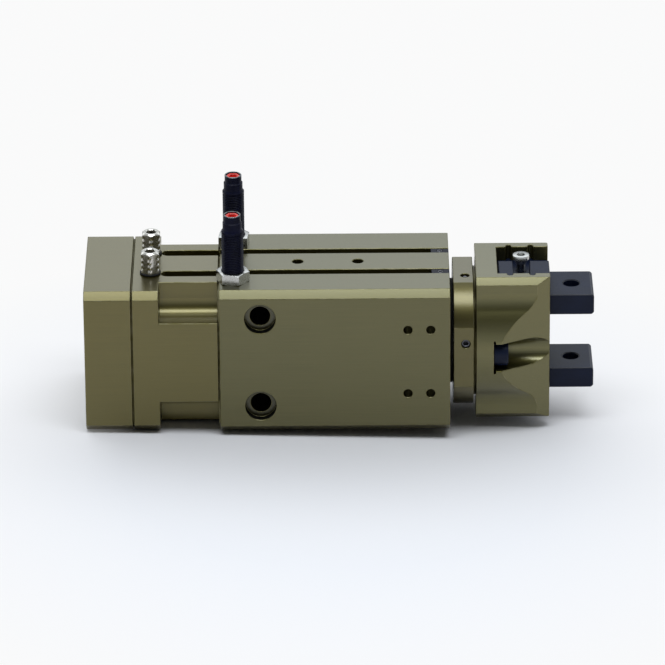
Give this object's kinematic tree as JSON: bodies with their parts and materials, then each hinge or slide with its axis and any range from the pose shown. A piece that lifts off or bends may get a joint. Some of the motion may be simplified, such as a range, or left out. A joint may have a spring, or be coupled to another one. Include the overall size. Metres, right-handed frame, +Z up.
{
  "type": "gripper swivel module",
  "caption": "Pneumatic swivel module: square housing with vane drive and shock-absorbed stops, turning a parallel-jaw gripper head on its front flange.",
  "frame": {"origin": "centre of the rear cover's rear face, on the swivel axis", "axes": "+X along the swivel axis towards the jaws, +Z up towards the shock absorbers, +Y away from the picture's viewer"},
  "size_m": [0.1395, 0.042, 0.0628],
  "materials": {
    "anodised": "hard anodised, fine matt grain",
    "bare_aluminium": "turned",
    "steel": "ground",
    "black_steel": "black oxide",
    "nickel_brass": "nickel plated",
    "bronze": "turned bronze",
    "seal_rubber": "moulded",
    "black_plastic": "matt",
    "red_plastic": "moulded",
    "magnet": "sintered"
  },
  "bodies": {
    "housing": {"air_fittings": "nickel_brass", "bearing_clip": "steel", "clip_screws": "steel", "cover_screws": "steel", "cover_seal": "seal_rubber", "drive_housing": "anodised", "fitting_seals": "seal_rubber", "front_bearing_outer": "steel", "front_shock_body": "black_steel", "main_body": "anodised", "rear_bearing_outer": "steel", "rear_cover": "anodised", "rear_shaft_seal": "seal_rubber", "rear_shock_body": "black_steel", "shock_adjusters": "red_plastic", "shock_lock_nuts": "steel", "slot_clips": "black_plastic", "stator_block": "bare_aluminium", "stator_pins": "steel", "stator_seal": "seal_rubber", "wall_seal": "seal_rubber"},
    "swivel": {"swivel_shaft": "steel", "rear_bearing_inner": "steel", "rear_bearing_balls": "steel", "front_bearing_inner": "steel", "front_bearing_balls": "steel", "vane_rotor": "bare_aluminium", "vane_seal": "seal_rubber", "rotor_pin": "steel", "stop_arm": "black_steel", "arm_pin": "steel", "feed_seals": "seal_rubber", "rod_gland": "bronze", "rod_seal": "seal_rubber", "swivel_flange": "anodised", "flange_grub_screws": "black_steel", "gripper_housing": "anodised", "head_screws": "black_steel", "head_dowels": "steel", "dust_seal": "seal_rubber"},
    "piston": {"gripper_piston": "bare_aluminium", "piston_seal": "seal_rubber", "piston_magnet": "magnet", "piston_rod": "steel", "piston_nut": "steel", "wedge_hook": "steel"},
    "upper_jaw": {"upper_jaw": "black_steel", "upper_cam_screw": "steel"},
    "lower_jaw": {"lower_jaw": "black_steel", "lower_cam_screw": "steel"},
    "front_rod": {"front_shock_rod": "steel"},
    "rear_rod": {"rear_shock_rod": "steel"}
  },
  "joints": [
    {"name": "swivel_turn", "type": "hinge", "parent": "housing", "child": "swivel", "pos_m": [0.1, 0, 0], "axis": [1, 0, 0], "range_deg": [0, 185]},
    {"name": "piston_slide", "type": "slide", "parent": "swivel", "child": "piston", "axis": [-1, 0, 0], "range_m": [0, 0.004]},
    {"name": "upper_jaw_slide", "type": "slide", "parent": "swivel", "child": "upper_jaw", "axis": [0, 0, -1], "range_m": [0, 0.004]},
    {"name": "lower_jaw_slide", "type": "slide", "parent": "swivel", "child": "lower_jaw", "axis": [0, 0, 1], "range_m": [0, 0.004]},
    {"name": "front_rod_slide", "type": "slide", "parent": "housing", "child": "front_rod", "axis": [0, 0, 1], "range_m": [0, 0.004], "stiffness_N_per_m": 300, "springref_m": -0.004},
    {"name": "rear_rod_slide", "type": "slide", "parent": "housing", "child": "rear_rod", "axis": [0, 0, 1], "range_m": [0, 0.004], "stiffness_N_per_m": 300, "springref_m": -0.004}
  ],
  "couplings": [
    {"joint": "upper_jaw_slide", "follows": "piston_slide", "ratio": 1},
    {"joint": "lower_jaw_slide", "follows": "piston_slide", "ratio": 1}
  ]
}
